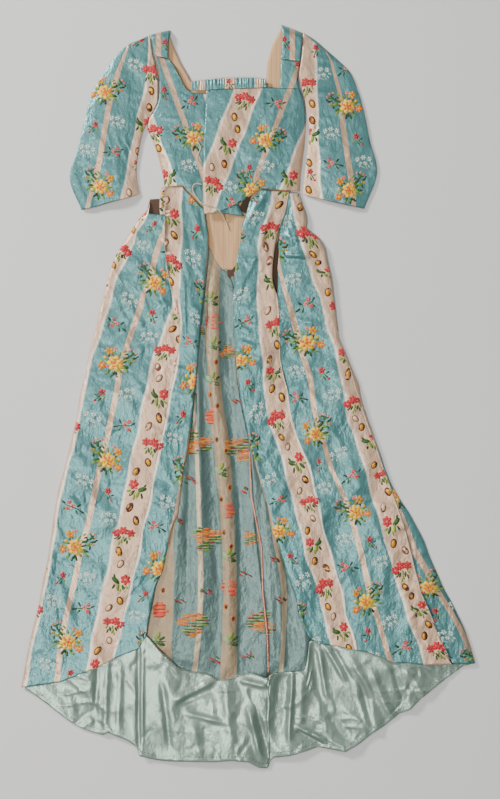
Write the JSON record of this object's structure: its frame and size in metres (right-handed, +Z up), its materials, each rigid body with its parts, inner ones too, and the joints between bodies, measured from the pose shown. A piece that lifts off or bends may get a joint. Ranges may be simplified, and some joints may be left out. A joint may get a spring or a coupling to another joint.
{
  "type": "robe a la francaise",
  "caption": "Robe a la francaise of teal silk brocade with cream stripes and flowers, laid out flat with its skirt open over a pale hem facing.",
  "frame": {"origin": "bottom centre of the bounding box, on the face the gown lies on", "axes": "+Z up from the surface it lies on, +Y towards the neck, +X towards the gown's left-hand side as the viewer looks down on its front with the neck away from them (image right)"},
  "size_m": [0.998, 1.637, 0.0184],
  "materials": {
    "silk_brocade": "satin",
    "silk_reverse": "satin",
    "facing_silk": "satin",
    "linen_lining": "matt",
    "cord_linen": "matt"
  },
  "bodies": {
    "root": {"skirt_back_left": "silk_reverse", "skirt_back_right": "silk_reverse", "hem_facing_left": "facing_silk", "hem_facing_right": "facing_silk", "skirt_front_left": "silk_brocade", "skirt_front_right": "silk_brocade", "bodice_back": "silk_brocade", "back_lining": "linen_lining", "bodice_front_left": "silk_brocade", "bodice_front_right": "silk_brocade", "shoulder_strap_left": "silk_brocade", "shoulder_strap_right": "silk_brocade", "sleeve_left": "silk_brocade", "sleeve_right": "silk_brocade", "neck_casing": "silk_brocade", "closing_cord": "cord_linen", "waist_tie": "cord_linen"}
  },
  "joints": []
}
